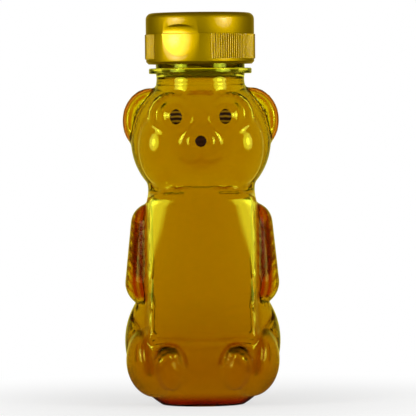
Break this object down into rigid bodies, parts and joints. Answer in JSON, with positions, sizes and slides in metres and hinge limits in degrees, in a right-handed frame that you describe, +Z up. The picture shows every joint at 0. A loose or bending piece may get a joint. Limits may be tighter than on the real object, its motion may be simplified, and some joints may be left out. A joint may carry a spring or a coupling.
{
  "type": "honey bear bottle",
  "caption": "Bear-shaped clear squeeze bottle filled with honey, with ears, arms, feet and flat label panels, under a ribbed gold screw closure with a flip lid and pouring spout.",
  "frame": {"origin": "middle of the bottle's footprint, on the surface it stands on", "axes": "+Z up through the neck, the bear faces -Y, +X to the viewer's right as seen from the front"},
  "size_m": [0.0588, 0.0499, 0.1465],
  "materials": {
    "clear_pet": "clear blow-moulded PET",
    "honey": "clear amber honey",
    "brown_print": "pad-printed brown ink",
    "white_foam": "expanded polyethylene foam",
    "gold_polypropylene": "satin gold moulded polypropylene"
  },
  "bodies": {
    "bottle": {"bottle": "clear_pet", "honey_fill": "honey", "eye_left": "brown_print", "eye_right": "brown_print", "nose": "brown_print"},
    "liner": {"liner_ring": "white_foam"},
    "closure": {"closure_base": "gold_polypropylene", "hinge_film": "gold_polypropylene", "snap_strap_left": "gold_polypropylene", "snap_strap_right": "gold_polypropylene"},
    "lid": {"flip_lid": "gold_polypropylene"}
  },
  "joints": [
    {"name": "closure_rise", "type": "slide", "parent": "bottle", "child": "liner", "axis": [0, 0, 1], "range_m": [0, 0.00423]},
    {"name": "closure_turn", "type": "hinge", "parent": "liner", "child": "closure", "pos_m": [0, 0, 0.13861], "axis": [0, 0, 1], "range_deg": [0, 360]},
    {"name": "lid_flip", "type": "hinge", "parent": "closure", "child": "lid", "pos_m": [0.00749, 0.01817, 0.13865], "axis": [-0.9245, 0.3811, 0], "range_deg": [0, 150], "deforming": ["hinge_film", "snap_strap_left", "snap_strap_right"]}
  ],
  "couplings": [
    {"joint": "closure_rise", "follows": "closure_turn", "m_per_rad": 0.0006737}
  ]
}
